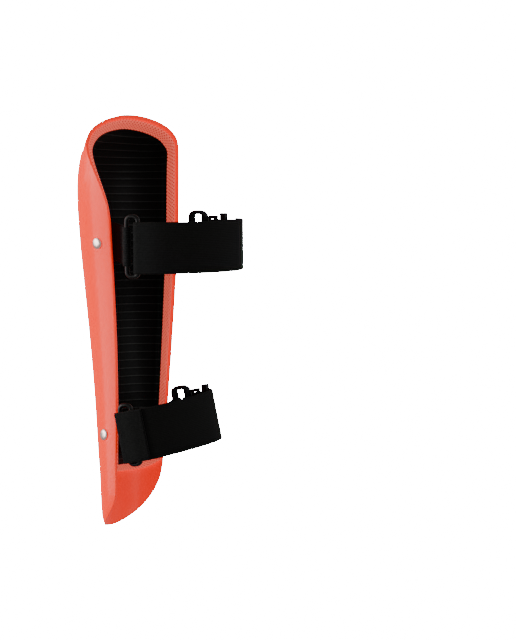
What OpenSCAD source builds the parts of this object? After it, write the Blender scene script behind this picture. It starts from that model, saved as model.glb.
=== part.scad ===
// Shin guard for gate racing: moulded shell, foam liner and two elastic strap loops with hooks.
// Frame: +Z up the leg, -Y to the front, +X to the outer side. Millimetres.
// The origin is the shin seat, on the liner's inner face near mid height.

/* [Shell] */
// Overall height of the shell
shell_h = 361; // [361]
// Thickness of the moulded sheet
shell_t = 2.5; // [2:0.1:3]
// Squareness of the cross-section, 2 is an ellipse
section_m = 2.3; // [2:0.05:2.6]
// Drop of the top rim on the outer side
top_drop_outer = 92; // [80:1:110]
// Drop of the top rim on the inner side
top_drop_inner = 26; // [15:1:50]
// Rise of the bottom rim on the outer side
bottom_rise_outer = 36; // [25:1:50]
// Rise of the bottom rim on the inner side
bottom_rise_inner = 50; // [35:1:60]

/* [Liner] */
// Thickness of the foam pad
liner_t = 6; // [4:0.5:7]
// Distance from the shell's rim to the liner's edge
liner_inset = 2; // [1:0.5:3]
// Height of the liner's lower edge above the bottom rim
liner_foot = 47; // [40:1:50]
// Width of the knitted border
border_w = 5.5; // [5:0.5:8]
// Share of the foam's thickness that the binding squeezes out at the edge
edge_squeeze = 0.55; // [0:0.05:0.6]
// Width over which the foam thins to its edge
squeeze_w = 12; // [10:0.5:14]
// Thickness of the knitted border
border_t = 0.8; // [0.5:0.1:1]
// Thickness of the moulded facing panel
panel_t = 1; // [0.8:0.1:1.4]

/* [Rivets] */
// Shank radius
shank_r = 2; // [1.6:0.1:2.2]
// Cap radius
cap_r = 5; // [4.5:0.1:6]
// Cap height
cap_h = 1.8; // [1.5:0.1:2.5]
// Washer radius
washer_r = 4.5; // [4:0.1:5]

/* [Straps] */
// Width of the elastic
elastic_w = 45; // [40:1:45]
// Thickness of the elastic
elastic_t = 2.2; // [1.8:0.1:2.4]
// Width of the webbing tabs
tab_w = 34; // [28:1:36]
// Thickness of the webbing
tab_t = 1.5; // [1.2:0.1:1.6]

/* [Rings and hooks] */
// Height of a ring's slot
slot_h = 48; // [47:0.5:50]
// Width of a ring's end bars
end_bar = 4; // [4:0.5:6]
// Radius of a ring's long bars
bar_r = 2; // [1.8:0.1:2.2]
// Height of a hook's catch
catch_h = 34; // [28:1:38]
// Running gap round the moving bars
gap = 0.15; // [0.1:0.05:0.2]

/* [Hidden] */
$fn = 48;
// Height stations of the cross-section, and the shape at each
z_k = [0, 10, 26, 57, 110, 163, 216, 251, 286, 310, 330, 345, 354, 361];
// Outer side's half of the outline
outer_k = [50, 57, 59.8, 60, 57, 55.8, 58.3, 61.6, 65.5, 66, 64, 58, 50, 36];
// Inner side's half of the outline
inner_k = [-19, -25, -29.5, -35.6, -44.9, -52.8, -59.8, -64.2, -65.2, -64.5, -60.5, -52.5, -43, -30];
// Depth of the section from its edges to the front
depth_k = [27, 27.5, 28, 30, 37, 43.5, 49.5, 52.5, 53.5, 52.5, 48.5, 43.5, 39, 35];
// How far each edge stands behind the edge plane
outer_back_k = [4.5, 4.5, 4.5, 4, 3, 1.5, 0.5, 0, 0, 0, 0, 0, 0, 0];
inner_back_k = [0, 0, 0, 0, 0, 0, 0, 0, 0, 0.5, 2.5, 6, 10, 15];
last_k = len(z_k) - 1;

// Where the two rims reach their highest and lowest points, across the wrap
top_peak = -0.25;
bottom_peak = 0.1;
top_power = [1.9, 2.2];
bottom_power = [2.2, 2];

// Seat on the liner, which is the origin
seat_z = 180;
seat_y = -34.8;

// Layers behind the shell's outer face
fit = 0.1;
sheet_gap = 0.4;
liner_0 = shell_t + sheet_gap;
liner_1 = liner_0 + liner_t;
facing_0 = liner_1 + 0.3;
border_1 = facing_0 + border_t;
panel_1 = facing_0 + panel_t;
tab_mid = border_1 + sheet_gap + tab_t / 2;
washer_0 = tab_mid + tab_t / 2 + 0.6;
washer_t = 1;
head_0 = washer_0 + washer_t + 0.05;
head_t = 1.2;
head_r = 3;

// Mean length along the wall from its middle to its edge
half_wrap = 84;

// Rivets: place on the wrap (+ is outer) and height
upper_outer_rivet = [0.859, 248];
upper_inner_rivet = [-0.859, 247];
lower_outer_rivet = [0.781, 82];
lower_inner_rivet = [-0.855, 82];
rivet_holes = [upper_outer_rivet, upper_inner_rivet, lower_outer_rivet, lower_inner_rivet];

// Each strap group: pivot, tilt, outer ring's bars, inner ring's bars, hook's bar, end of the elastic
upper = [[0, -14, 247], [0, 1.6], [58, 14], [57, 24.5], [-60, 16], [-60, 29], [-60, 40], [-60, 58]];
lower = [[8, -9.5, 83.5], [9.5, 6], [58.5, 12.5], [57.5, 23], [-43, 12.5], [-43, 25.5], [-43, 36.2],
    [-43, 47]];
upper_loop = [[60.3, 24.5], [57.4, 40], [50, 54], [36, 69], [12, 80], [-16, 82.5],
    [-38, 76.5], [-52, 69.5], [-59.4, 60.4]];
lower_loop = [[62.2, 23], [59.6, 34], [51, 45], [34, 54], [14, 59.6], [-6, 61.5],
    [-24, 59], [-35.2, 54.2], [-42, 49.3]];
// Turned-back end that lies over the lower outer ring
lower_flap = [[63.8, 9.8], [64, 16], [63.8, 24], [61.4, 35]];
// Drop of the elastic's middle below the rings' middle
run_drop = 1.3;
// Width of the narrower strap ends, and of the hook's arms beside them
end_w = 40;
arm_t = 2.8;
elastic_mid = bar_r + gap + elastic_t / 2;
ring_bar_r = 3.4;
ring_t = 4;
slider_w = 5.5;
slider_wall = 1.6;

shell_rows = 36;
shell_cols = 34;

function slope(y, k) =
    let (a = max(k - 1, 0), b = min(k + 1, last_k))
    (y[b] - y[a]) / (z_k[b] - z_k[a]);

function station(z, i = 0) = (i >= last_k - 1 || z < z_k[i + 1]) ? i : station(z, i + 1);

function along(z, y) =
    let (i = station(z), h = z_k[i + 1] - z_k[i], s = (z - z_k[i]) / h)
    (2 * pow(s, 3) - 3 * s * s + 1) * y[i] + (pow(s, 3) - 2 * s * s + s) * h * slope(y, i)
    + (3 * s * s - 2 * pow(s, 3)) * y[i + 1] + (pow(s, 3) - s * s) * h * slope(y, i + 1);

function round_off(w, p) = 1 - pow(max(0, 1 - pow(w, p)), 1 / p);

function share(t, peak) = min(1, t > peak ? (t - peak) / (1 - peak) : (peak - t) / (1 + peak));

// Height of the rims at wrap t, from -1 at the inner edge to 1 at the outer edge
function rim_top(t) =
    let (w = share(t, top_peak))
    shell_h - (t > top_peak ? top_drop_outer : top_drop_inner) * round_off(w,
        top_power[t > top_peak ? 0 : 1]);

function rim_bottom(t) =
    let (w = share(t, bottom_peak))
    (t > bottom_peak ? bottom_rise_outer : bottom_rise_inner)
    * round_off(w, bottom_power[t > bottom_peak ? 0 : 1]);

function signed_power(v, p) = sign(v) * pow(abs(v), p);

// Outer face of the shell
function skin(t, z) =
    let (o = along(z, outer_k), i = along(z, inner_k), d = along(z, depth_k), p = 2 / section_m)
    [(o + i) / 2 + (o - i) / 2 * signed_power(sin(90 * t), p),
     -d * pow(max(0, cos(90 * t)), p)
     + along(z, outer_back_k) * (1 + t) / 2 + along(z, inner_back_k) * (1 - t) / 2,
     z];

function unit(v) = v / norm(v);

// Direction out of the shell
function facing(t, z) =
    let (a = min(t + 0.02, 0.995), b = max(t - 0.02, -0.995), c = min(z + 2, shell_h - 0.5),
        d = max(z - 2, 0.5))
    unit(cross(skin(a, z) - skin(b, z), skin(t, c) - skin(t, d)));

// A layer that lies a given distance behind the outer face
function layer(t, z, depth) = skin(t, z) - facing(t, z) * depth;

// Closed sheet from two matching grids of points
module sheet(front, back) {
    rows = len(front);
    cols = len(front[0]);
    n = rows * cols;
    pts = concat([for (r = front) each r], [for (r = back) each r]);
    quads = [for (r = [0 : rows - 2]) for (c = [0 : cols - 2])
        let (k = r * cols + c) [k, k + cols, k + cols + 1, k + 1]];
    front_tri = [for (q = quads) each [[q[0], q[1], q[2]], [q[0], q[2], q[3]]]];
    back_tri = [for (q = front_tri) [q[2] + n, q[1] + n, q[0] + n]];
    rim = concat(
        [for (c = [0 : cols - 2]) [c, c + 1]],
        [for (r = [0 : rows - 2]) [r * cols + cols - 1, (r + 1) * cols + cols - 1]],
        [for (c = [cols - 1 : -1 : 1]) [(rows - 1) * cols + c, (rows - 1) * cols + c - 1]],
        [for (r = [rows - 1 : -1 : 1]) [r * cols, (r - 1) * cols]]);
    rim_tri = [for (e = rim) each [[e[0], e[1], e[1] + n], [e[0], e[1] + n, e[0] + n]]];
    polyhedron(points = pts, faces = concat(front_tri, back_tri, rim_tri), convexity = 8);
}

// Distance in from the liner's edge, and the share of the foam's thickness that is left there
function top_slope(t) = (rim_top(t + 0.01) - rim_top(t - 0.01)) / (0.02 * half_wrap);
function edge_gap(t, z) =
    min((1 - abs(t)) * half_wrap - liner_inset,
        (rim_top(t) - z - liner_inset) / norm([1, top_slope(t)]),
        z - liner_foot - 8 * pow(t, 4));
function kept(t, z) = 1 - edge_squeeze * max(0, 1 - max(0, edge_gap(t, z)) / squeeze_w);

// The depth of a layer where the foam under it is squeezed
function settled(depth, t, z) =
    depth <= liner_0 ? depth
    : liner_0 + (min(depth, liner_1) - liner_0) * kept(t, z) + max(0, depth - liner_1);

// Rows of points between the rims, held in from the edge by inset and up from the bottom by foot
function patch(depth, inset, foot, rows, cols) =
    [for (r = [0 : rows]) [for (c = [0 : cols])
        let (u = -cos(180 * c / cols), t = u * (1 - inset / half_wrap), v = r / rows,
             lo = foot > 0 ? foot + 8 * pow(abs(u), 4) : rim_bottom(u),
             hi = rim_top(u) - inset, z = lo + (hi - lo) * v)
        layer(t, z, settled(depth, t, z))]];

module wall_patch(from, to, inset, foot, rows, cols) {
    sheet(patch(from, inset, foot, rows, cols), patch(to, inset, foot, rows, cols));
}

// Turns +Z to point straight out of the shell at a rivet
module at_wall(spot) {
    n = facing(spot[0], spot[1]);
    translate(skin(spot[0], spot[1])) rotate([0, acos(n[2]), atan2(n[1], n[0])]) children();
}

module bores() {
    for (spot = rivet_holes) at_wall(spot) translate([0, 0, -head_0 - 4]) cylinder(r = shank_r + fit,
        h = head_0 + 8);
}

module seated() {
    translate([0, -seat_y, -seat_z]) children();
}

module shell() {
    color("OrangeRed") seated() difference() {
        wall_patch(0, shell_t, 0, 0, shell_rows, shell_cols);
        bores();
    }
}

module liner() {
    color("DimGray") seated() difference() {
        wall_patch(liner_0, liner_1, liner_inset, liner_foot, 40, 26);
        bores();
    }
}

module panel() {
    color("Black") seated() difference() {
        wall_patch(facing_0, panel_1, liner_inset + border_w + 0.4, liner_foot + border_w + 0.4, 40, 20);
        bores();
    }
}

// Edge of a patch as one closed loop, inset from the rims
function loop_of(depth, inset, foot, rows, cols) =
    let (g = patch(depth, inset, foot, rows, cols))
    concat([for (c = [0 : cols - 1]) g[0][c]], [for (r = [0 : rows - 1]) g[r][cols]],
           [for (c = [cols : -1 : 1]) g[rows][c]], [for (r = [rows : -1 : 1]) g[r][0]]);

module border() {
    rows = 26;
    cols = 18;
    a = loop_of(facing_0, liner_inset, liner_foot, rows, cols);
    b = loop_of(border_1, liner_inset, liner_foot, rows, cols);
    c = loop_of(border_1, liner_inset + border_w, liner_foot + border_w, rows, cols);
    d = loop_of(facing_0, liner_inset + border_w, liner_foot + border_w, rows, cols);
    n = len(a);
    faces = [for (k = [0 : n - 1]) for (s = [0 : 3])
        let (e = (k + 1) % n, p = s * n, q = ((s + 1) % 4) * n)
        each [[p + k, p + e, q + e], [p + k, q + e, q + k]]];
    color("Coral") seated() difference() {
        polyhedron(points = concat(a, b, c, d), faces = faces, convexity = 8);
        bores();
    }
}

module rivets() {
    color("Silver") seated() for (spot = rivet_holes) at_wall(spot) {
        translate([0, 0, 0.3]) difference() {
            rotate_extrude() polygon([[0, 0], [cap_r, 0], [cap_r, 0.5], [cap_r * 0.9, cap_h * 0.55],
                [cap_r * 0.62, cap_h * 0.85], [cap_r * 0.3, cap_h * 0.97], [0, cap_h]]);
            translate([0, 0, -1]) cylinder(r = shank_r - 0.5, h = 1);
        }
        translate([0, 0, -head_0 - 0.5]) cylinder(r = shank_r, h = head_0 + 1);
        translate([0, 0, -head_0 - head_t]) cylinder(r = head_r, h = head_t);
    }
}

module washers() {
    color("DarkGray") seated() for (spot = rivet_holes) at_wall(spot) translate([0, 0,
        -washer_0 - washer_t]) {
        difference() {
            cylinder(r = washer_r, h = washer_t);
            translate([0, 0, -1]) cylinder(r = shank_r + fit, h = washer_t + 2);
        }
    }
}

// Place of a point or solid of a strap group, with z counted from the group's own height
function turned(g, p) =
    let (a = g[1][0], b = g[1][1], q = p - [g[0][0], g[0][1], 0],
         r = [q[0], q[1] * cos(a) - q[2] * sin(a), q[1] * sin(a) + q[2] * cos(a)])
    g[0] + [r[0] * cos(b) + r[2] * sin(b), r[1], -r[0] * sin(b) + r[2] * cos(b)];

module group(g) {
    seated() translate(g[0]) rotate([g[1][0], g[1][1], 0]) translate([-g[0][0], -g[0][1], 0]) children();
}

// Middle line of a webbing tab at one height: on the liner from its free end to the edge, then round the bar
function tab_row(g, spot, bar, side, radius, w) =
    let (start = abs(spot[0]) - 0.13, rise = tan(g[1][0]))
    concat(
        [for (k = [0 : 7])
            let (t = side * (start + (0.99 - start) * k / 7), flat = layer(t, spot[1], tab_mid),
                 pin = layer(spot[0], spot[1], tab_mid), z = spot[1] + w + (flat[1] - pin[1]) * rise)
            layer(t, z, tab_mid)],
        [for (k = [0 : 12])
            let (a = side > 0 ? 190 - 270 * k / 12 : -10 + 270 * k / 12)
            turned(g, [bar[0] + radius * cos(a), bar[1] + radius * sin(a), w])]);

function lerp(a, b, s) = a + (b - a) * s;

function tab_grid(g, spot, bar, side, radius) =
    [for (k = [0 : 20]) [for (j = [0 : 4]) tab_row(g, spot, bar, side, radius, lerp(-tab_w / 2,
        tab_w / 2, j / 4))[k]]];

function grid_normal(m, i, j) =
    let (a = min(i + 1, len(m) - 1), b = max(i - 1, 0), c = min(j + 1, len(m[0]) - 1), d = max(j - 1, 0))
    unit(cross(m[a][j] - m[b][j], m[i][c] - m[i][d]));

function pushed(m, h) =
    [for (i = [0 : len(m) - 1]) [for (j = [0 : len(m[0]) - 1]) m[i][j] + grid_normal(m, i, j) * h]];

module tab(g, spot, bar, side, r) {
    m = tab_grid(g, spot, bar, side, r + gap + tab_t / 2);
    color("Black") seated() difference() {
        sheet(pushed(m, -side * tab_t / 2), pushed(m, side * tab_t / 2));
        bores();
    }
}

module upper_outer_tab() { tab(upper, upper_outer_rivet, upper[2], 1, bar_r); }
module upper_inner_tab() { tab(upper, upper_inner_rivet, upper[4], -1, ring_bar_r); }
module lower_outer_tab() { tab(lower, lower_outer_rivet, lower[2], 1, bar_r); }
module lower_inner_tab() { tab(lower, lower_inner_rivet, lower[4], -1, ring_bar_r); }

// Block with rounded long corners, its long side along Y and its round corners seen along X
module soft_block(size, r) {
    rotate([90, 0, 90]) linear_extrude(size[0], center = true) union() {
        square([size[1] - 2 * r, size[2]], center = true);
        square([size[1], size[2] - 2 * r], center = true);
        for (a = [-1, 1]) for (b = [-1, 1]) translate([a * (size[1] / 2 - r),
            b * (size[2] / 2 - r)]) circle(r = r);
    }
}

// Rectangular loop: two round long bars joined by flat ends
module ring(front, rear, r) {
    mid = (front + rear) / 2;
    width = rear[1] - front[1] + 2 * r;
    lean = atan2(front[0] - rear[0], rear[1] - front[1]);
    translate([mid[0], mid[1], 0]) rotate([0, 0, lean]) {
        difference() {
            soft_block([ring_t, width, slot_h + 2 * end_bar], r + 1.5);
            cube([ring_t + 2, width + 2, slot_h], center = true);
        }
        for (s = [-1, 1]) translate([0, s * (width / 2 - r), 0]) cylinder(r = r, h = slot_h + 2,
            center = true);
    }
}

module outer_ring(g) {
    color("DimGray") group(g) ring(g[2], g[3], bar_r);
}

module inner_ring(g) {
    color("DimGray") group(g) ring(g[4], g[5], ring_bar_r);
}

module upper_outer_ring() { outer_ring(upper); }
module upper_inner_ring() { inner_ring(upper); }
module lower_outer_ring() { outer_ring(lower); }
module lower_inner_ring() { inner_ring(lower); }

function arc(c, r, from, to, n) =
    [for (k = [0 : n]) let (a = from + (to - from) * k / n) [c[0] + r * cos(a), c[1] + r * sin(a)]];

// Smooth line through a list of points
function spline(p, n) =
    concat([for (k = [0 : len(p) - 2]) for (j = [0 : n - 1])
        let (a = p[max(k - 1, 0)], b = p[k], c = p[k + 1], d = p[min(k + 2, len(p) - 1)], s = j / n)
        b + (c - a) / 2 * s + (2 * a - 5 * b + 4 * c - d) / 2 * s * s + (3 * b - a - 3 * c + d) / 2 * pow(s, 3)],
        [p[len(p) - 1]]);

function side_of(p, k) =
    let (a = p[max(k - 1, 0)], b = p[min(k + 1, len(p) - 1)], v = unit(b - a)) [-v[1], v[0]];

// Band of even thickness along a line, set on edge
module ribbon(path, t, w) {
    n = len(path) - 1;
    outline = concat([for (k = [0 : n]) path[k] + side_of(path, k) * t / 2],
                     [for (k = [n : -1 : 0]) path[k] - side_of(path, k) * t / 2]);
    linear_extrude(w, center = true) polygon(outline);
}

module upper_strap() {
    bar = upper[3];
    path = concat([bar + [-elastic_mid, 14], bar + [-elastic_mid, 7]], arc(bar, elastic_mid, 180, 360, 14),
                  [for (k = [1 : 40]) spline(upper_loop, 5)[k]]);
    color("Black") group(upper) translate([0, 0, -run_drop]) ribbon(path, elastic_t, elastic_w);
}

module lower_strap() {
    bar = lower[3];
    path = concat([bar + [-elastic_mid, 13], bar + [-elastic_mid, 6]], arc(bar, elastic_mid, 180, 360, 14),
                  [for (k = [1 : 40]) spline(lower_loop, 5)[k]]);
    color("Black") group(lower) translate([0, 0, -run_drop]) {
        ribbon(path, elastic_t, elastic_w);
        ribbon(spline(lower_flap, 4), elastic_t, elastic_w);
    }
}

// Doubled end of the elastic: a flat length with an eye round the hook's bar
module strap_end(g) {
    root = g[7];
    bar = g[6];
    color("Black") group(g) {
        difference() {
            union() {
                translate([bar[0], bar[1], 0]) cylinder(r = bar_r + gap + elastic_t, h = end_w,
                    center = true);
                translate([root[0], (root[1] + bar[1]) / 2, 0])
                    cube([elastic_t, root[1] - bar[1], end_w], center = true);
                translate([root[0], root[1], 0]) cylinder(r = elastic_t / 2, h = end_w, center = true);
            }
            translate([bar[0], bar[1], 0]) cylinder(r = bar_r + gap, h = elastic_w, center = true);
        }
    }
}

module upper_strap_end() { strap_end(upper); }
module lower_strap_end() { strap_end(lower); }

// Hook: a catch that closes on the inner ring's rear bar, and a bar for the elastic
module hook(g) {
    bar = g[6];
    held = g[5];
    spine_x = held[0] - ring_bar_r - 1.5;
    web_y = held[1] + ring_bar_r + 0.7;
    lip_y = held[1] - ring_bar_r - 0.7;
    arm_z = end_w / 2 + 0.3 + arm_t / 2;
    color("DimGray") group(g) {
        translate([spine_x - 1.1, (web_y + lip_y) / 2, 0]) cube([2.2, web_y - lip_y + 4, catch_h],
            center = true);
        translate([spine_x - 1.1, lip_y - 2, -catch_h / 2]) cube([held[0] - spine_x + 1.1, 2, catch_h]);
        translate([spine_x - 1.1, web_y, -catch_h / 2]) cube([held[0] - spine_x + 2.6, 2, catch_h]);
        translate([held[0] - 2, web_y + 0.2, -arm_z - arm_t / 2])
            cube([3.5, 1.8, 2 * arm_z + arm_t]);
        for (s = [-1, 1]) {
            translate([held[0], (web_y + bar[1] + bar_r) / 2, s * arm_z])
                cube([ring_t, bar[1] + bar_r - web_y, arm_t], center = true);
        }
        translate([bar[0], bar[1], 0]) cylinder(r = bar_r, h = 2 * arm_z, center = true);
    }
}

module upper_hook() { hook(upper); }
module lower_hook() { hook(lower); }

// Flat sleeve that keeps the doubled elastic together
module slider(g) {
    place = g[6][1] + bar_r + gap + elastic_t + 0.8 + slider_w / 2;
    color("DimGray") group(g) translate([g[6][0], place, 0]) difference() {
        soft_block([elastic_t + 0.4 + 2 * slider_wall, slider_w, elastic_w + 6], 1.2);
        cube([elastic_t + 0.4, slider_w + 2, elastic_w - 2], center = true);
    }
}

module upper_slider() { slider(upper); }
module lower_slider() { slider(lower); }

shell();
liner();
border();
panel();
rivets();
washers();
upper_outer_tab();
upper_inner_tab();
lower_outer_tab();
lower_inner_tab();
upper_outer_ring();
upper_inner_ring();
lower_outer_ring();
lower_inner_ring();
upper_strap();
lower_strap();
upper_strap_end();
lower_strap_end();
upper_hook();
lower_hook();
upper_slider();
lower_slider();
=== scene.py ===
from math import sin, cos, pi, radians, tan, exp, hypot
import bpy
import bmesh
from mathutils import Vector, Matrix


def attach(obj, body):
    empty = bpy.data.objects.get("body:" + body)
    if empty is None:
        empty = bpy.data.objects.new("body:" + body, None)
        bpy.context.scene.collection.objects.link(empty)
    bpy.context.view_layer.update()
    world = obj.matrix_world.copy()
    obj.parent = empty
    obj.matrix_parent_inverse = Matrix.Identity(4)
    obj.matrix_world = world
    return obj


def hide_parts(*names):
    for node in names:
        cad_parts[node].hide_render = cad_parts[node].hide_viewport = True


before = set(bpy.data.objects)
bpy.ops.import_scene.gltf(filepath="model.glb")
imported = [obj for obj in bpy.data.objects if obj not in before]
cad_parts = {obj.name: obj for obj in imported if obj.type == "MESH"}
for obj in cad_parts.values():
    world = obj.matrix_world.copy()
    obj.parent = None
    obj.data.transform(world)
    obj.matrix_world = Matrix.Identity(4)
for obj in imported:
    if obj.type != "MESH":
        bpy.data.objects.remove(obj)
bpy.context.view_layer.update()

# Studio: the guard hangs in a plain white sweep, seen through a long lens from behind its outer
# side, level with the middle of the leg. The sweep only shows to the camera, and soft boxes on
# both sides light the gloss of the shell.
VIEW_AZ, VIEW_EL, VIEW_DIST = radians(116.6), radians(2.0), 3.2
VIEW_HEIGHT, VIEW_SHIFT = 0.5632, 0.0999
right = Vector((cos(VIEW_AZ), sin(VIEW_AZ), 0))
back = Vector((sin(VIEW_AZ) * cos(VIEW_EL), -cos(VIEW_AZ) * cos(VIEW_EL), sin(VIEW_EL)))
camera = bpy.data.objects.new("camera", bpy.data.cameras.new("camera"))
bpy.context.scene.collection.objects.link(camera)
camera.data.sensor_width = 36
camera.data.lens = 36 * VIEW_DIST / VIEW_HEIGHT
camera.data.clip_end = 30
camera.location = Vector((0, 0.0348, 0)) + back * VIEW_DIST + right * VIEW_SHIFT
camera.rotation_euler = back.to_track_quat("Z", "Y").to_euler()
bpy.context.scene.camera = camera


def linear(hex_colour):
    channels = [int(hex_colour[i:i + 2], 16) / 255 for i in (1, 3, 5)]
    return [c / 12.92 if c <= 0.04045 else ((c + 0.055) / 1.055) ** 2.4 for c in channels] + [1.0]


def add(material, kind, links=(), **settings):
    """Adds a node: plain settings by name, sockets by a dict called inputs, and links to its inputs."""
    node = material.node_tree.nodes.new("ShaderNode" + kind)
    for socket, value in settings.pop("inputs", {}).items():
        node.inputs[socket].default_value = value
    for name, value in settings.items():
        setattr(node, name, value)
    for socket, source in dict(links).items():
        material.node_tree.links.new(source, node.inputs[socket])
    return node


def finish_of(name, **shader_inputs):
    """A new material, and the shader that it is finished with."""
    material = bpy.data.materials.new(name)
    material.use_nodes = True
    shader = material.node_tree.nodes["Principled BSDF"]
    for socket, value in shader_inputs.items():
        shader.inputs[socket.replace("_", " ")].default_value = value
    return material, shader


def join(material, source, shader, socket):
    material.node_tree.links.new(source, shader.inputs[socket])


sweep = bmesh.new()
SWEEP_HALF, SWEEP_R = 4, 2.5
curve = [radians(6 * k) for k in range(16)]
line = [sweep.verts.new((-SWEEP_HALF, 3 + SWEEP_R * sin(a), 2.3 - SWEEP_R * cos(a))) for a in curve]
line.insert(0, sweep.verts.new((-SWEEP_HALF, -5, -0.2)))
line.append(sweep.verts.new((-SWEEP_HALF, 5.5, 7)))
edges = [sweep.edges.new((line[k], line[k + 1])) for k in range(len(line) - 1)]
moved = bmesh.ops.extrude_edge_only(sweep, edges=edges)["geom"]
moved_verts = [g for g in moved if isinstance(g, bmesh.types.BMVert)]
bmesh.ops.translate(sweep, vec=(2 * SWEEP_HALF, 0, 0), verts=moved_verts)
bmesh.ops.rotate(sweep, verts=sweep.verts, matrix=Matrix.Rotation(VIEW_AZ, 3, "Z"))
backdrop_mesh = bpy.data.meshes.new("sweep")
sweep.to_mesh(backdrop_mesh)
backdrop = bpy.data.objects.new("sweep", backdrop_mesh)
bpy.context.scene.collection.objects.link(backdrop)
# White paper, lit from behind: it only gives the plain white round the guard
paper, paper_shader = finish_of("white paper sweep", Base_Color=linear("#FFFFFF"), Roughness=1.0,
                                Emission_Color=linear("#FFFFFF"), Emission_Strength=60.0)
backdrop_mesh.materials.append(paper)
backdrop.visible_diffuse = False
backdrop.visible_glossy = False
backdrop.visible_transmission = False
backdrop.visible_shadow = False

world = bpy.data.worlds.new("studio")
bpy.context.scene.world = world
world.use_nodes = True
world.node_tree.nodes["Background"].inputs["Color"].default_value = linear("#FFFFFF")
world.node_tree.nodes["Background"].inputs["Strength"].default_value = 0.33
LAMP_DIST = 1.5
for name, turn, height, size, watts in (("key box", 46, 0.15, 1.1, 20), ("side box", 190, 0.5, 1.1, 5),
                                        ("front box", 20, 0.6, 1.0, 12)):
    a = radians(turn)
    lamp = bpy.data.objects.new(name, bpy.data.lights.new(name, "AREA"))
    lamp.data.size = size
    lamp.data.energy = watts
    lamp.location = (LAMP_DIST * sin(a), -LAMP_DIST * cos(a), height)
    lamp.rotation_euler = Vector(lamp.location).to_track_quat("Z", "Y").to_euler()
    bpy.context.scene.collection.objects.link(lamp)

# Shell: one sheet of translucent fluorescent polymer about 2.5 mm thick, pressed into a deep trough
# with raised lobes, two valleys that turn across the shin low down, and a pad high on the inner side.
# Its rim is trimmed and rounded. The curves below are those of the CAD shell, in mm.
HEIGHTS = (0, 10, 26, 57, 110, 163, 216, 251, 286, 310, 330, 345, 354, 361)
OUTER = (50, 57, 59.8, 60, 57, 55.8, 58.3, 61.6, 65.5, 66, 64, 58, 50, 36)
INNER = (-19, -25, -29.5, -35.6, -44.9, -52.8, -59.8, -64.2, -65.2, -64.5, -60.5, -52.5, -43, -30)
DEPTH = (27, 27.5, 28, 30, 37, 43.5, 49.5, 52.5, 53.5, 52.5, 48.5, 43.5, 39, 35)
OUTER_BACK = (4.5, 4.5, 4.5, 4, 3, 1.5, 0.5, 0, 0, 0, 0, 0, 0, 0)
INNER_BACK = (0, 0, 0, 0, 0, 0, 0, 0, 0, 0.5, 2.5, 6, 10, 15)
SECTION = 2 / 2.3
SHELL_T = 2.5
SEAT = Vector((0, 34.8, -180))


def along(z, values):
    i = max(k for k in range(len(HEIGHTS) - 1) if k == 0 or HEIGHTS[k] <= z)
    h = HEIGHTS[i + 1] - HEIGHTS[i]
    s = (z - HEIGHTS[i]) / h

    def slope(k):
        a, b = max(k - 1, 0), min(k + 1, len(HEIGHTS) - 1)
        return (values[b] - values[a]) / (HEIGHTS[b] - HEIGHTS[a])
    return ((2 * s ** 3 - 3 * s * s + 1) * values[i] + (s ** 3 - 2 * s * s + s) * h * slope(i)
            + (3 * s * s - 2 * s ** 3) * values[i + 1] + (s ** 3 - s * s) * h * slope(i + 1))


def rim(t, peak, rises, powers):
    side = 0 if t > peak else 1
    w = min(1, (t - peak) / (1 - peak) if side == 0 else (peak - t) / (1 + peak))
    return rises[side] * (1 - max(0, 1 - w ** powers[side]) ** (1 / powers[side]))


def rim_top(t):
    return 361 - rim(t, -0.25, (92, 26), (1.9, 2.2))


def rim_bottom(t):
    return rim(t, 0.1, (36, 50), (2.2, 2.0))


def skin(t, z):
    o, i, s = along(z, OUTER), along(z, INNER), sin(pi / 2 * t)
    x = (o + i) / 2 + (o - i) / 2 * (abs(s) ** SECTION) * (1 if s > 0 else -1)
    y = -along(z, DEPTH) * max(0, cos(pi / 2 * t)) ** SECTION
    return Vector((x, y + along(z, OUTER_BACK) * (1 + t) / 2 + along(z, INNER_BACK) * (1 - t) / 2, z))


def facing(t, z):
    a, b, c, d = min(t + 0.02, 0.995), max(t - 0.02, -0.995), min(z + 2, 360.5), max(z - 2, 0.5)
    return (skin(a, z) - skin(b, z)).cross(skin(t, c) - skin(t, d)).normalized()


def layer(t, z, depth):
    return skin(t, z) - facing(t, z) * depth


def smooth(a, b, x):
    s = max(0, min(1, (x - a) / (b - a)))
    return s * s * (3 - 2 * s)


def off_line(x, z, points):
    """Distance from a broken line, and how far along it, from 0 to 1."""
    best, total, run = (1e9, 0), sum((Vector(b) - Vector(a)).length for a, b in zip(points, points[1:])), 0
    for a, b in zip(points, points[1:]):
        a, b = Vector(a), Vector(b)
        k = max(0, min(1, (Vector((x, z)) - a).dot(b - a) / (b - a).length_squared))
        gap = (Vector((x, z)) - a.lerp(b, k)).length
        if gap < best[0]:
            best = (gap, (run + k * (b - a).length) / total)
        run += (b - a).length
    return best


# Lines of the relief, as (x, height) down the front of the shell
OUTER_VALLEY = ((23.5, 336), (23, 300), (22.8, 200), (24, 122), (23, 112), (18, 99), (10, 89),
                (-2, 77), (-12, 70), (-22, 64))
INNER_VALLEY = ((12, 330), (12.4, 260), (13, 190), (11.5, 120), (9, 108), (2, 98), (-8, 90),
                (-20, 80), (-30, 70))
FOOT_VALLEY = ((6, 82), (9, 60), (11, 30), (13, 4))
INNER_CREASE = ((-51, 318), (-51, 260), (-46, 200), (-38, 140), (-31, 90), (-26, 62))
OUTER_CREASE = ((52, 316), (50, 270), (46, 200), (45, 140), (46, 90), (48, 40))


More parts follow.
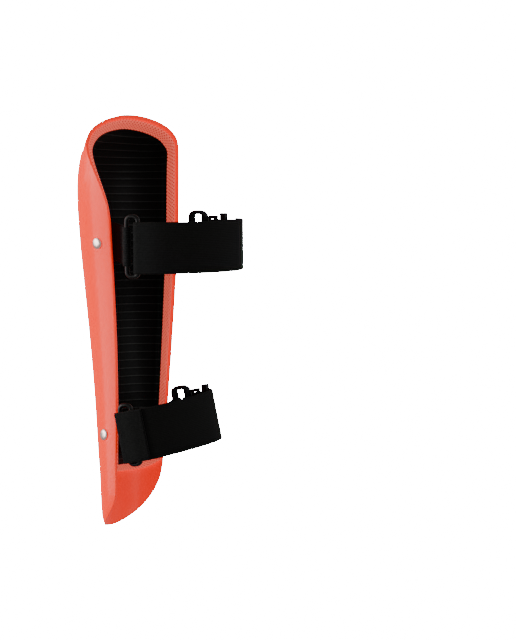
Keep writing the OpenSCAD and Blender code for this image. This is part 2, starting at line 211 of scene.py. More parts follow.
def relief(p):
    x, z = p.x, p.z
    gap, run = off_line(x, z, OUTER_VALLEY)
    h = -1.7 * exp(-(gap / 2.6) ** 2) * (1 - smooth(0.93, 1, run)) * smooth(340, 318, z)
    gap, run = off_line(x, z, INNER_VALLEY)
    h -= 1.25 * exp(-(gap / 2.3) ** 2) * (1 - smooth(0.8, 1, run)) * smooth(334, 312, z)
    gap, run = off_line(x, z, FOOT_VALLEY)
    h -= 0.6 * exp(-(gap / 6) ** 2) * smooth(0, 0.25, run)
    for crease, lift in ((INNER_CREASE, 0.55), (OUTER_CREASE, 0.5)):
        gap, run = off_line(x, z, crease)
        h += lift * exp(-(gap / 4) ** 2) * smooth(0, 0.1, run) * (1 - smooth(0.9, 1, run))
    # rounded heads of the lobes
    for head_x, head_z, r in ((37.5, 315, 13.5), (6, 312, 7.5)):
        if abs(x - head_x) < r + 6:
            over = z - head_z - (max(0, r * r - (x - head_x) ** 2)) ** 0.5
            h -= 1.0 * smooth(-3, 4, over) * (1 - smooth(10, 26, over)) * smooth(r + 6, r, abs(x - head_x))
    # pad: a rounded square with a raised face and a fine groove round it
    px, pz = x + 18.5, z - 324
    px, pz = px * cos(0.1) - pz * sin(0.1), px * sin(0.1) + pz * cos(0.1)
    dx, dz = abs(px) - 16, abs(pz) - 15.5
    edge = hypot(max(dx, 0), max(dz, 0)) + min(max(dx, dz), 0) - 11
    h -= 0.75 * exp(-(edge / 1.1) ** 2)
    h += 0.35 * (1 - smooth(-2.5, -0.5, edge)) + 0.3 * exp(-((edge - 3.2) / 1.6) ** 2)
    return h


def mapped(bm, columns, rows, place, weld=True):
    """A grid laid out by place(u, v), which gives a point in mm and its place on the pattern in mm."""
    uv_layer = bm.loops.layers.uv.verify()
    made = bmesh.ops.create_grid(bm, x_segments=columns, y_segments=rows, size=1)["verts"]
    spots = {v: place((v.co.x + 1) / 2, (v.co.y + 1) / 2) for v in made}
    faces = {f for v in made for f in v.link_faces}
    for f in faces:
        for corner in f.loops:
            corner[uv_layer].uv = spots[corner.vert][1]
    for v, (spot, _) in spots.items():
        v.co = (spot + SEAT) / 1000
    if weld:
        bmesh.ops.remove_doubles(bm, verts=made, dist=0.00002)


def piece(name, bm, material, recalc=True, smooth_faces=True):
    if recalc:
        bmesh.ops.recalc_face_normals(bm, faces=bm.faces)
    mesh = bpy.data.meshes.new(name)
    bm.to_mesh(mesh)
    bm.free()
    obj = bpy.data.objects.new(name, mesh)
    bpy.context.scene.collection.objects.link(obj)
    mesh.materials.append(material)
    for polygon in mesh.polygons:
        polygon.use_smooth = smooth_faces
    return obj


def shell_face(depth, shaped):
    def place(u, v):
        t = 2 * u - 1
        lo, hi = rim_bottom(t), rim_top(t)
        z = lo + (hi - lo) * v
        spot, out = skin(t, z), facing(t, z)
        lift = relief(spot) * smooth(0, 0.06, v) * smooth(1, 0.95, v) * smooth(1, 0.86, abs(t))
        # the back follows the same shape only below the liner, which fills it out above
        lift *= 1 if shaped else 1.6 * smooth(52, 40, z)
        return spot + out * (lift - depth), (t * 84, z)
    return place


bm = bmesh.new()
mapped(bm, 130, 190, shell_face(0, True), weld=False)
front_rim = [e for e in bm.edges if e.is_boundary]
mapped(bm, 130, 190, shell_face(SHELL_T, False), weld=False)
back_rim = [e for e in bm.edges if e.is_boundary and e not in set(front_rim)]
bmesh.ops.bridge_loops(bm, edges=front_rim + back_rim)
bmesh.ops.recalc_face_normals(bm, faces=bm.faces)
bmesh.ops.bevel(bm, geom=front_rim + back_rim, offset=0.0008, offset_type="OFFSET", segments=3, profile=0.5,
                affect="EDGES", material=-1, clamp_overlap=True)
# Fluorescent polyurethane, injection moulded against polished steel: a wet gloss over the colour, with the
# faint waviness of a large moulding.
# Its emission is a painted glow that brightens the orange whatever the lamps do.
shell_skin, shader = finish_of("fluorescent orange polyurethane, moulded, painted glow",
                               Base_Color=linear("#FF3000"), Roughness=0.35, IOR=1.5,
                               Specular_IOR_Level=0.2, Coat_Weight=0.12, Coat_Roughness=0.06,
                               Subsurface_Weight=0.1, Subsurface_Scale=0.004,
                               Emission_Color=linear("#FF1600"), Emission_Strength=0.62)
shader.inputs["Subsurface Radius"].default_value = (1.0, 0.35, 0.15)
place_ = add(shell_skin, "TexCoord")
wave = add(shell_skin, "TexNoise", {"Vector": place_.outputs["Object"]},
           inputs={"Scale": 45.0, "Detail": 2.0})
tint = add(shell_skin, "ValToRGB", {"Fac": wave.outputs["Fac"]})
tint.color_ramp.elements[0].color = linear("#FF2C00")
tint.color_ramp.elements[1].color = linear("#FF3C02")
join(shell_skin, tint.outputs["Color"], shader, "Base Color")
ripple = add(shell_skin, "Bump", {"Height": wave.outputs["Fac"]},
             inputs={"Strength": 0.06, "Distance": 0.001})
join(shell_skin, ripple.outputs["Normal"], shader, "Normal")
shell = piece("shell_moulding", bm, shell_skin)
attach(shell, "guard")
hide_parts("shell")

# Liner: a 6 mm foam pad glued into the shell. Its edge is bound with a knitted mesh tape in the
# shell's colour, sewn on with a zigzag, and its middle carries a black moulded facing with fine
# cross ridges that let the sleeve grip.
FOAM = (2.9, 8.9)
INSET, FOOT, BORDER_W, BORDER_D = 2, 47, 5.5, 9.5
HALF_WRAP = 84
EDGE_SQUEEZE, SQUEEZE_W = 0.55, 12
TAPE_EDGE, TAPE_FACE = 4, 9


def settled(t, z, depth):
    """A layer over the foam, let down where the binding squeezes the foam thin."""
    slope = (rim_top(t + 0.01) - rim_top(t - 0.01)) / (0.02 * HALF_WRAP)
    side_gap, top_gap = (1 - abs(t)) * HALF_WRAP - INSET, (rim_top(t) - z - INSET) / hypot(1, slope)
    gap = max(0, min(side_gap, top_gap, z - FOOT - 8 * t ** 4))
    return depth - (FOAM[1] - FOAM[0]) * EDGE_SQUEEZE * max(0, 1 - gap / SQUEEZE_W)


def edge_point(s, inset, foot, depth):
    """A point on the loop that follows the liner's edge, at s of the way round it."""
    k = (s % 1) * 4
    u, v = ((-1 + 2 * k, 0), (1, k - 1), (1 - 2 * (k - 2), 1), (-1, 4 - k))[min(3, int(k))]
    u = sin(pi / 2 * u)
    t = u * (1 - inset / HALF_WRAP)
    lo, hi = foot + 8 * abs(u) ** 4, rim_top(u) - inset
    z = lo + (hi - lo) * v
    return layer(t, z, settled(t, z, depth))


TAPE_STEPS = 1560
tape_line = [edge_point(k / TAPE_STEPS, INSET, FOOT, BORDER_D) for k in range(TAPE_STEPS + 1)]
tape_run = [0]
for here, there in zip(tape_line, tape_line[1:]):
    tape_run.append(tape_run[-1] + (there - here).length)


def binding(u, v):
    # across the tape: up the edge of the foam from its back, over, and in along its face
    across = v * (TAPE_EDGE + TAPE_FACE)
    run = tape_run[round(u * TAPE_STEPS)]
    if across < TAPE_EDGE:
        inset = INSET - 0.6 * sin(pi * across / TAPE_EDGE)
        depth = BORDER_D - (1 - across / TAPE_EDGE) * 3
    else:
        w = (across - TAPE_EDGE) / TAPE_FACE
        inset, depth = INSET + w * BORDER_W, BORDER_D + 0.35 * sin(pi * w) ** 0.6
        if w > 0.97:
            depth = BORDER_D - 0.4
        tooth = abs((run / 2.0) % 1 - 0.5) * 2
        inset += (tooth - 0.5) * 0.8 * smooth(0.85, 1, w)
    return edge_point(u, inset, FOOT + inset - INSET, depth), (run, across)


bm = bmesh.new()
mapped(bm, TAPE_STEPS, 16, binding)
# Polyester spacer mesh, warp knitted: open holes about 2 mm apart, painted darker in the holes as shade,
# with the yarn round them painted bright and glowing through the emission
mesh_tape, shader = finish_of("coral spacer mesh, knitted", Base_Color=linear("#F23A28"),
                              Roughness=0.7, Specular_IOR_Level=0.25,
                              Emission_Color=linear("#FF2A14"), Emission_Strength=0.75)
place_ = add(mesh_tape, "TexCoord")
turned = add(mesh_tape, "Mapping", {"Vector": place_.outputs["UV"]},
             inputs={"Scale": (1 / 2.3, 1 / 2.3, 1), "Rotation": (0, 0, radians(45))})
holes = add(mesh_tape, "TexVoronoi", {"Vector": turned.outputs["Vector"]}, voronoi_dimensions="2D",
            inputs={"Scale": 1.0, "Randomness": 0.12})
# painted shade and glow: dark red in the holes, bright coral on the yarn, used for both base colour and
# emission
hole_shade_and_yarn_glow = add(mesh_tape, "ValToRGB", {"Fac": holes.outputs["Distance"]})
hole_shade_and_yarn_glow.color_ramp.elements[0].position, hole_shade_and_yarn_glow.color_ramp.elements[0].color = 0.16, linear("#A01410")
hole_shade_and_yarn_glow.color_ramp.elements[1].position, hole_shade_and_yarn_glow.color_ramp.elements[1].color = 0.4, linear("#FF6450")
join(mesh_tape, hole_shade_and_yarn_glow.outputs["Color"], shader, "Base Color")
join(mesh_tape, hole_shade_and_yarn_glow.outputs["Color"], shader, "Emission Color")
pits = add(mesh_tape, "Bump", {"Height": holes.outputs["Distance"]},
           inputs={"Strength": 0.9, "Distance": 0.0006})
join(mesh_tape, pits.outputs["Normal"], shader, "Normal")
border = piece("knitted_border", bm, mesh_tape)
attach(border, "guard")
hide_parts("border")
solid = border.modifiers.new("tape", "SOLIDIFY")
solid.thickness = 0.0004
solid.offset = 1

RIDGE = 7.1


def panel_face(u, v):
    a = sin(pi / 2 * (2 * u - 1))
    inset = INSET + BORDER_W - 0.5
    t = a * (1 - inset / HALF_WRAP)
    lo, hi = FOOT + BORDER_W - 0.5 + 8 * abs(a) ** 4, rim_top(a) - inset
    z = lo + (hi - lo) * v
    beat = (z / RIDGE) % 1
    beat = min(beat, 1 - beat) * RIDGE
    inside = smooth(1.0, 0.93, abs(a)) * smooth(0, 0.03, v) * smooth(1, 0.97, v)
    ridge = 0.35 * exp(-(beat / 0.5) ** 2) * inside
    return layer(t, z, settled(t, z, 9.75 + ridge)), (t * HALF_WRAP, z)


bm = bmesh.new()
mapped(bm, 60, 560, panel_face, weld=False)
# EVA foam with a moulded rubbery skin: black, satin, pebbled like fine leather, shinier on the ridges
facing_skin, shader = finish_of("black EVA facing, moulded", Base_Color=linear("#020202"),
                                Roughness=0.5, Specular_IOR_Level=0.12)
place_ = add(facing_skin, "TexCoord")
grain = add(facing_skin, "TexVoronoi", {"Vector": place_.outputs["Object"]}, inputs={"Scale": 1100.0})
polish = add(facing_skin, "MapRange", {"Value": grain.outputs["Distance"]},
             inputs={"From Min": 0.0, "From Max": 1.0, "To Min": 0.42, "To Max": 0.6})
join(facing_skin, polish.outputs["Result"], shader, "Roughness")
# the moulded ridges are polished bright by the tool
level = add(facing_skin, "SeparateXYZ", {"Vector": place_.outputs["UV"]})
spacing = add(facing_skin, "Math", {0: level.outputs["Y"]}, operation="PINGPONG", inputs={1: RIDGE / 2})
crest = add(facing_skin, "MapRange", {"Value": spacing.outputs["Value"]},
            inputs={"From Min": 0.45, "From Max": 0.15, "To Min": 0.1, "To Max": 0.35})
join(facing_skin, crest.outputs["Result"], shader, "Specular IOR Level")
pebble = add(facing_skin, "Bump", {"Height": grain.outputs["Distance"]},
             inputs={"Strength": 0.25, "Distance": 0.0002})
join(facing_skin, pebble.outputs["Normal"], shader, "Normal")
panel = piece("ridged_facing", bm, facing_skin)
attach(panel, "guard")
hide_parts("panel")
solid = panel.modifiers.new("facing", "SOLIDIFY")
solid.thickness = 0.0006
solid.offset = -1

# Closed-cell foam, skived: dull coral, seen only as a thin line behind the tape
foam_skin, shader = finish_of("coral closed-cell foam", Base_Color=linear("#C93324"), Roughness=0.9)
place_ = add(foam_skin, "TexCoord")
cells = add(foam_skin, "TexNoise", {"Vector": place_.outputs["Object"]}, inputs={"Scale": 900.0})
pores = add(foam_skin, "Bump", {"Height": cells.outputs["Fac"]},
            inputs={"Strength": 0.4, "Distance": 0.0003})
join(foam_skin, pores.outputs["Normal"], shader, "Normal")
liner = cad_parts["liner"]
liner.data.materials.clear()
liner.data.materials.append(foam_skin)

# Rivets: nickel-plated brass, a domed cap outside, the shank set over a washer inside the webbing.
RIVETS = ((0.859, 248), (-0.859, 247), (0.781, 82), (-0.855, 82))
WASHER_TOP = 12.5


def at_wall(t, z):
    out = facing(t, z)
    turn = Vector((0, 0, 1)).rotation_difference(out).to_matrix().to_4x4()
    return Matrix.Translation((skin(t, z) + SEAT) / 1000) @ turn @ Matrix.Scale(0.001, 4)


def lathe(bm, profile, matrix, steps=40):
    """Spins a profile of (radius, height) in mm about +Z and moves it into place."""
    verts = [bm.verts.new((r, 0, h)) for r, h in profile]
    edges = [bm.edges.new(pair) for pair in zip(verts, verts[1:])]
    made = bmesh.ops.spin(bm, geom=verts + edges, cent=(0, 0, 0), axis=(0, 0, 1), angle=2 * pi, steps=steps,
                          use_merge=True, use_duplicate=False)
    ring_verts = {v for f in bm.faces if not f.tag for v in f.verts} | set(verts)
    bmesh.ops.remove_doubles(bm, verts=list(ring_verts), dist=0.01)
    fresh = [f for f in bm.faces if not f.tag]
    bmesh.ops.transform(bm, matrix=matrix, verts=list({v for f in fresh for v in f.verts}))
    for f in fresh:
        f.tag = True


CAP = ((0, 1.9), (1.5, 1.87), (2.8, 1.72), (3.9, 1.35), (4.7, 0.85), (5.0, 0.45), (4.95, 0.2),
       (4.6, 0.1), (2.0, 0.1), (2.0, -WASHER_TOP - 0.9), (2.9, -WASHER_TOP - 1.0),
       (3.0, -WASHER_TOP - 1.5), (2.5, -WASHER_TOP - 2.0),
       (1.2, -WASHER_TOP - 2.1), (0.9, -WASHER_TOP - 1.5), (0, -WASHER_TOP - 1.5))
WASHER = ((2.1, -WASHER_TOP), (4.2, -WASHER_TOP), (4.5, -WASHER_TOP - 0.3), (4.5, -WASHER_TOP - 0.7),
          (4.2, -WASHER_TOP - 1.0), (2.1, -WASHER_TOP - 1.0), (2.1, -WASHER_TOP))
# Nickel plate on brass, stamped and tumbled: warm grey metal with a pink tint that is a painted reflection
# of the orange shell, softly hazed, with fine handling marks
nickel, shader = finish_of("nickel-plated brass, stamped", Base_Color=linear("#F6DCD2"), Metallic=1.0,
                           Roughness=0.26)
place_ = add(nickel, "TexCoord")
marks = add(nickel, "TexNoise", {"Vector": place_.outputs["Object"]},
            inputs={"Scale": 700.0, "Detail": 4.0})
haze = add(nickel, "MapRange", {"Value": marks.outputs["Fac"]}, inputs={"To Min": 0.18, "To Max": 0.42})
join(nickel, haze.outputs["Result"], shader, "Roughness")
for name, node, profile in (("rivet_set", "rivets", CAP), ("washer_set", "washers", WASHER)):
    bm = bmesh.new()
    for t, z in RIVETS:
        lathe(bm, profile, at_wall(t, z))
    metal = piece(name, bm, nickel)
    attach(metal, "guard")
    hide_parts(node)

# Strap groups: the upper straps lie level, the lower ones tilt up to the rear and to the inner side,
# turning about the lower rivets. Each group's places are in mm, with z counted from its own height.
UPPER = {"pivot": (0, -14, 247), "tilt": (0, 1.6), "outer": ((58, 14), (57, 24.5)),
         "inner": ((-60, 16), (-60, 29)), "bar": (-60, 40), "root": (-60, 58)}
LOWER = {"pivot": (8, -9.5, 83.5), "tilt": (9.5, 6), "outer": ((58.5, 12.5), (57.5, 23)),
         "inner": ((-43, 12.5), (-43, 25.5)), "bar": (-43, 36.2), "root": (-43, 47)}


def turned_in(group, p):
    a, b = (radians(d) for d in group["tilt"])
    pivot = Vector(group["pivot"])
    q = Vector(p) - Vector((pivot.x, pivot.y, 0))
    q = Matrix.Rotation(b, 3, "Y") @ (Matrix.Rotation(a, 3, "X") @ q)
    return pivot + q


def arc(c, r, start, end, n):
    angles = [radians(start + (end - start) * k / n) for k in range(n + 1)]
    return [(c[0] + r * cos(a), c[1] + r * sin(a)) for a in angles]


def spline(p, n):
    p = [Vector(q) for q in p]
    out = []
    for k in range(len(p) - 1):
        a, b, c, d = p[max(k - 1, 0)], p[k], p[k + 1], p[min(k + 2, len(p) - 1)]
        for j in range(n):
            s = j / n
            out.append(b + (c - a) / 2 * s + (2 * a - 5 * b + 4 * c - d) / 2 * s * s
                       + (3 * b - a - 3 * c + d) / 2 * s ** 3)
    return [tuple(q) for q in out] + [tuple(p[-1])]


def even(path, step):
    """The same line with its points a step apart."""
    pts = [Vector(p) for p in path]
    lengths = [0]
    for a, b in zip(pts, pts[1:]):
        lengths.append(lengths[-1] + (b - a).length)
    n = max(2, round(lengths[-1] / step))
    out = []
    for k in range(n + 1):
        d = lengths[-1] * k / n
        i = max(j for j in range(len(lengths) - 1) if lengths[j] <= d + 1e-9)
        span = lengths[i + 1] - lengths[i]
        out.append(pts[i].lerp(pts[i + 1], (d - lengths[i]) / span if span > 0 else 0))
    return out, lengths[-1]


def band(bm, group, path, width, thick, wave=0.0, step=1.6, drop=0.0):
    """A flat strap with rolled edges along a line: its section is a long rounded slot."""
    pts, length = even(path, step)
    n = len(pts) - 1
    corner = thick * 0.5
    ring = []
    for k in range(9):
        a = -pi / 2 + pi * k / 8
        ring.append((width / 2 - corner + corner * cos(a), thick / 2 * sin(a)))
    for k in range(1, 12):
        ring.append((width / 2 - corner - (width - 2 * corner) * k / 12, thick / 2))
    for k in range(9):
        a = pi / 2 + pi * k / 8
        ring.append((-width / 2 + corner + corner * cos(a), thick / 2 * sin(a)))
    for k in range(1, 12):
        ring.append((-width / 2 + corner + (width - 2 * corner) * k / 12, -thick / 2))
    ring.append(ring[0])
    m = len(ring) - 1

    def place(u, v):
        i, j = round(v * n), round(u * m)
        run = (pts[min(i + 1, n)] - pts[max(i - 1, 0)]).normalized()
        side = Vector((-run.y, run.x))
        s = i / n * length
        w, h = ring[j]
        ripple = wave * sin(s / 17.0 + w / 15.0) * sin(pi * i / n)
        p = pts[i] + side * (h + ripple)
        return turned_in(group, (p.x, p.y, w - drop)), (s, w + (width + 2 if h < 0 else 0))
    mapped(bm, m, n, place)
    bmesh.ops.holes_fill(bm, edges=[e for e in bm.edges if e.is_boundary], sides=0)


# A pick every 0.9 mm. The wave texture turns 20 radians a unit, so this scale gives one band a unit
PICK, WAVE_PER_UNIT = 0.9, 0.314


def woven(name, colour, rib, rough, depth):
    """Black narrow fabric: ribs run along it, crossed by fine picks."""
    material, shader = finish_of(name, Base_Color=linear(colour), Roughness=rough, Specular_IOR_Level=0.12)
    place_ = add(material, "TexCoord")
    across = add(material, "Mapping", {"Vector": place_.outputs["UV"]}, inputs={"Scale": (0, 1 / rib, 0)})
    ribs = add(material, "TexWave", {"Vector": across.outputs["Vector"]}, bands_direction="Y",
               inputs={"Scale": WAVE_PER_UNIT})
    lengthways = add(material, "Mapping", {"Vector": place_.outputs["UV"]},
                     inputs={"Scale": (1 / PICK, 0, 0)})
    picks = add(material, "TexWave", {"Vector": lengthways.outputs["Vector"]}, bands_direction="X",
                inputs={"Scale": WAVE_PER_UNIT})
    fuzz = add(material, "TexNoise", {"Vector": place_.outputs["Object"]},
               inputs={"Scale": 650.0, "Detail": 3.0})
    weave = add(material, "Math", {0: ribs.outputs["Fac"], 1: picks.outputs["Fac"]}, operation="MULTIPLY")
    rough_cloth = add(material, "Math", {0: weave.outputs["Value"], 1: fuzz.outputs["Fac"]},
                      operation="ADD")
    cloth = add(material, "Bump", {"Height": rough_cloth.outputs["Value"]},
                inputs={"Strength": depth, "Distance": 0.0004})
    join(material, cloth.outputs["Normal"], shader, "Normal")
    # painted shade: the colour falls to near black in the troughs between ribs and picks, with a random
    # fuzz tone on top
    weave_shade_and_fuzz = add(material, "ValToRGB", {"Fac": rough_cloth.outputs["Value"]})
    weave_shade_and_fuzz.color_ramp.elements[0].color = linear("#020202")
    weave_shade_and_fuzz.color_ramp.elements[1].color = linear(colour)
    join(material, weave_shade_and_fuzz.outputs["Color"], shader, "Base Color")
    return material


# Woven elastic: polyester over rubber cores, matt black, ribs about 1.5 mm apart
elastic = woven("black woven elastic", "#131313", 1.5, 0.8, 0.35)
# Nylon webbing: flatter and a little glossier, ribs 2 mm apart
webbing = woven("black nylon webbing", "#101011", 2.0, 0.6, 0.5)
# Tabs: 34 mm nylon webbing riveted over the liner, turned round the near bar of each ring and sewn.
TAB_MID = 11.15
ELASTIC_T, TAB_T, TAB_W, ELASTIC_W = 2.2, 1.5, 34, 45


def tab(name, group, rivet, bar, side, bar_r):
    t0, z0 = rivet
    rise = tan(radians(group["tilt"][0]))
    pin = layer(t0, z0, TAB_MID)
    start = abs(t0) - 0.13
    radius = bar_r + 0.15 + TAB_T / 2
    wall = [side * (start + (0.99 - start) * k / 16) for k in range(17)]
    turns = [(190 - 270 * k / 20) if side > 0 else (-10 + 270 * k / 20) for k in range(21)]

    def line_at(w):
        pts = [layer(t, z0 + w + (layer(t, z0, TAB_MID).y - pin.y) * rise, TAB_MID) for t in wall]
        pts += [turned_in(group, (bar[0] + radius * cos(radians(a)), bar[1] + radius * sin(radians(a)), w))
                for a in turns]
        return pts

    def place(u, v):
        w = (u - 0.5) * TAB_W
        pts = line_at(w)
        k = min(int(v * (len(pts) - 1) + 1e-6), len(pts) - 2)
        spot = pts[k].lerp(pts[k + 1], v * (len(pts) - 1) - k)
        return spot, (v * 62, w)

    bm = bmesh.new()
    mapped(bm, 12, 37, place, weld=False)
    bmesh.ops.recalc_face_normals(bm, faces=bm.faces)
    obj = piece(name, bm, webbing, recalc=False)
    solid = obj.modifiers.new("webbing", "SOLIDIFY")
    solid.thickness = TAB_T / 1000
    solid.offset = 0
    edge = obj.modifiers.new("edge", "BEVEL")
    edge.width = 0.00045
    edge.segments = 3
    edge.limit_method = "ANGLE"
    edge.angle_limit = radians(60)
    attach(obj, "guard")
    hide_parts(name.replace("_webbing", ""))


tab("upper_outer_tab_webbing", UPPER, RIVETS[0], UPPER["outer"][0], 1, 2.0)
tab("upper_inner_tab_webbing", UPPER, RIVETS[1], UPPER["inner"][0], -1, 3.4)
tab("lower_outer_tab_webbing", LOWER, RIVETS[2], LOWER["outer"][0], 1, 2.0)
tab("lower_inner_tab_webbing", LOWER, RIVETS[3], LOWER["inner"][0], -1, 3.4)

# Rings: injection-moulded acetal loops with rounded bars. The outer pair joins tabs and elastic, the
# inner pair is what the hooks close on.
# Acetal, moulded in a lightly etched tool: black, satin, with faint flow marks
acetal, shader = finish_of("black acetal, moulded", Base_Color=linear("#040404"), Roughness=0.34,
                           Specular_IOR_Level=0.25)
place_ = add(acetal, "TexCoord")
flow = add(acetal, "TexNoise", {"Vector": place_.outputs["Object"]}, inputs={"Scale": 400.0, "Detail": 3.0})
etch = add(acetal, "MapRange", {"Value": flow.outputs["Fac"]}, inputs={"To Min": 0.24, "To Max": 0.42})
join(acetal, etch.outputs["Result"], shader, "Roughness")
skin_bump = add(acetal, "Bump", {"Height": flow.outputs["Fac"]},
                inputs={"Strength": 0.12, "Distance": 0.0003})
join(acetal, skin_bump.outputs["Normal"], shader, "Normal")
SLOT_H, END_BAR, KEEPER_BAR = 48, 4, 3.4


def tube_loop(bm, group, loop, section):
    """A round bar swept along a loop: each step is (middle, across, out, half width, half depth)."""
    n, m = len(loop), section

    def place(u, v):
        i, a = round(v * n) % n, 2 * pi * round(u * m) / m
        centre, across, out, half_w, half_d = loop[i]
        p = Vector(centre) + Vector(across) * (half_w * cos(a)) + Vector(out) * (half_d * sin(a))
        return turned_in(group, p), (v * 100, u * 12)
    mapped(bm, m, n, place)


def ring(name, body, group, bars, bar_r):
    front, rear = Vector(bars[0]), Vector(bars[1])
    axis = (rear - front).normalized()
    out = Vector((axis.y, -axis.x, 0))
    axis3 = Vector((axis.x, axis.y, 0))
    mid = (front + rear) / 2
    half_y, half_z = (rear - front).length / 2, (SLOT_H + END_BAR) / 2
    corner = min(half_y, 4.2)
    loop = []
    for cy, cz, a0 in ((1, 1, 0), (-1, 1, 90), (-1, -1, 180), (1, -1, 270)):
        for k in range(9):
            a = radians(a0 + 90 * k / 8)
            y = cy * (half_y - corner) + corner * cos(a)
            z = cz * (half_z - corner) + corner * sin(a)
            end = abs(sin(a)) ** 2 if k not in (0, 8) else abs(sin(a))
            normal = axis3 * cos(a) + Vector((0, 0, 1)) * sin(a)
            loop.append((Vector((mid.x, mid.y, 0)) + axis3 * y + Vector((0, 0, z)), normal, out,
                         bar_r + (END_BAR / 2 - bar_r) * end, bar_r))
    full = []
    for k, here in enumerate(loop):
        there = loop[(k + 1) % len(loop)]
        gap = (there[0] - here[0]).length
        parts = max(1, round(gap / 3.0))
        for j in range(parts):
            s = j / parts
            full.append((here[0].lerp(there[0], s), here[1].lerp(there[1], s).normalized(), out,
                         here[3] + (there[3] - here[3]) * s, here[4]))
    bm = bmesh.new()
    tube_loop(bm, group, full, 16)
    obj = piece(name, bm, acetal)
    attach(obj, body)
    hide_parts(name.replace("_moulding", ""))


ring("upper_outer_ring_moulding", "guard", UPPER, UPPER["outer"], 2.0)
ring("lower_outer_ring_moulding", "guard", LOWER, LOWER["outer"], 2.0)
ring("upper_inner_ring_moulding", "upper_keeper", UPPER, UPPER["inner"], KEEPER_BAR)
ring("lower_inner_ring_moulding", "lower_keeper", LOWER, LOWER["inner"], KEEPER_BAR)

# Straps: 45 mm elastic from the outer ring round the calf. The lower one has its end turned back
# over the ring and sewn.
UPPER_LOOP = ((60.3, 24.5), (57.4, 40), (50, 54), (36, 69), (12, 80), (-16, 82.5), (-38, 76.5),
              (-52, 69.5), (-59.4, 60.4))
LOWER_LOOP = ((62.2, 23), (59.6, 34), (51, 45), (34, 54), (14, 59.6), (-6, 61.5), (-24, 59),
              (-35.2, 54.2), (-42, 49.3))
LOWER_FLAP = ((63.8, 9.8), (64, 16), (63.8, 24), (61.4, 35))
TURN = 2.0 + 0.15 + ELASTIC_T / 2
RUN_DROP = 1.3


def strap(name, group, loop, flap=None):
    bar = group["outer"][1]
    tail = [(bar[0] - TURN, bar[1] + 13.5), (bar[0] - TURN, bar[1] + 7)]
    path = tail + arc(bar, TURN, 180, 360, 24) + spline(loop, 10)[1:]
    bm = bmesh.new()
    band(bm, group, path, ELASTIC_W, ELASTIC_T, wave=0.25, drop=RUN_DROP)
    if flap:
        band(bm, group, spline(flap, 8), ELASTIC_W, ELASTIC_T, drop=RUN_DROP)
    obj = piece(name, bm, elastic)
    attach(obj, "guard")
    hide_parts(name.replace("_elastic", ""))


strap("upper_strap_elastic", UPPER, UPPER_LOOP)
strap("lower_strap_elastic", LOWER, LOWER_LOOP, LOWER_FLAP)

END_W, ARM_T = 40, 2.8
# Strap ends: the elastic's last length, turned round the hook's bar and sewn flat. It bends where it
# leaves the main run.


def strap_end(name, group, body):
    bar, root = group["bar"], group["root"]
    run = [(root[0], root[1] + 1.0), (root[0], bar[1] + 6), (bar[0] + 0.2, bar[1] + 4)]
    path = run + arc(bar, TURN, 95, 420, 30)
    bm = bmesh.new()
    band(bm, group, path, END_W, ELASTIC_T, step=0.8)
    obj = piece(name, bm, elastic)
    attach(obj, body)
    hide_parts(name.replace("_elastic", ""))


strap_end("upper_strap_end_elastic", UPPER, "upper_end")
strap_end("lower_strap_end_elastic", LOWER, "lower_end")

# Hooks: acetal, a catch that wraps the inner ring's rear bar from outside, and a bar for the elastic.


def block(bm, group, low, high, edge=0.5):
    """A moulded block with softened edges, between two corners in mm."""
    low, high = Vector(low), Vector(high)
    made = bmesh.ops.create_cube(bm, size=1)["verts"]
    bmesh.ops.scale(bm, vec=high - low, verts=made)
    bmesh.ops.translate(bm, vec=(low + high) / 2, verts=made)
    made_edges = list({e for v in made for e in v.link_edges})
    out = bmesh.ops.bevel(bm, geom=made_edges, offset=edge, segments=3, profile=0.5, affect="EDGES",
                          material=-1)
    verts = {v for f in out["faces"] for v in f.verts}
    grown = verts | {v for f in bm.faces if any(w in verts for w in f.verts) for v in f.verts}
    for v in grown:
        v.co = (turned_in(group, v.co) + SEAT) / 1000


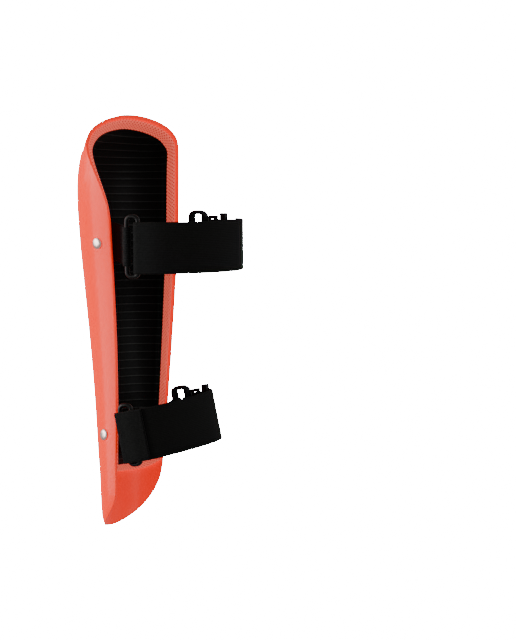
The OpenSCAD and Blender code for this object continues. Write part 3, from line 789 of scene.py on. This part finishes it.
def hook(name, group, body):
    bar, held, r = group["bar"], group["inner"][1], KEEPER_BAR
    spine, web, lip = held[0] - r - 1.5, held[1] + r + 0.7, held[1] - r - 0.7
    arm = END_W / 2 + 0.3 + ARM_T / 2
    bm = bmesh.new()
    block(bm, group, (spine - 2.2, lip - 2, -17), (spine, web + 2, 17), 0.7)
    block(bm, group, (spine - 1.1, lip - 2, -17), (held[0], lip, 17), 0.6)
    block(bm, group, (spine - 1.1, web, -17), (held[0] + 1.5, web + 2, 17), 0.6)
    block(bm, group, (held[0] - 2, web + 0.2, -arm - ARM_T / 2),
          (held[0] + 1.5, web + 2, arm + ARM_T / 2), 0.5)
    for s in (-1, 1):
        block(bm, group, (held[0] - 2, web + 0.1, s * arm - ARM_T / 2),
              (held[0] + 2, bar[1] + 2, s * arm + ARM_T / 2), 0.9)
    rod = bmesh.ops.create_cone(bm, cap_ends=True, segments=24, radius1=2.0, radius2=2.0, depth=2 * arm)
    for v in rod["verts"]:
        v.co = (turned_in(group, v.co + Vector((bar[0], bar[1], 0))) + SEAT) / 1000
    obj = piece(name, bm, acetal, smooth_faces=False)
    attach(obj, body)
    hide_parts(name.replace("_moulding", ""))


hook("upper_hook_moulding", UPPER, "upper_end")
hook("lower_hook_moulding", LOWER, "lower_end")

# Sliders: flat acetal sleeves that keep the doubled elastic together.


def slider(name, group, body):
    half_w, wall = 2.75, 0.8
    at = group["bar"][1] + 2 + 0.15 + ELASTIC_T + 0.8 + half_w
    x, half_z, inner_x = group["bar"][0], (ELASTIC_W + 6) / 2, (ELASTIC_T + 0.4) / 2
    bm = bmesh.new()
    for s in (-1, 1):
        face = x + s * (inner_x + wall)
        block(bm, group, (face - wall, at - half_w, -half_z), (face + wall, at + half_w, half_z), 0.45)
        block(bm, group, (x - inner_x - 1, at - half_w, s * (half_z - 2) - 2),
              (x + inner_x + 1, at + half_w, s * (half_z - 2) + 2), 0.45)
    obj = piece(name, bm, acetal, smooth_faces=False)
    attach(obj, body)
    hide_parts(name.replace("_moulding", ""))


slider("upper_slider_moulding", UPPER, "upper_adjuster")
slider("lower_slider_moulding", LOWER, "lower_end")
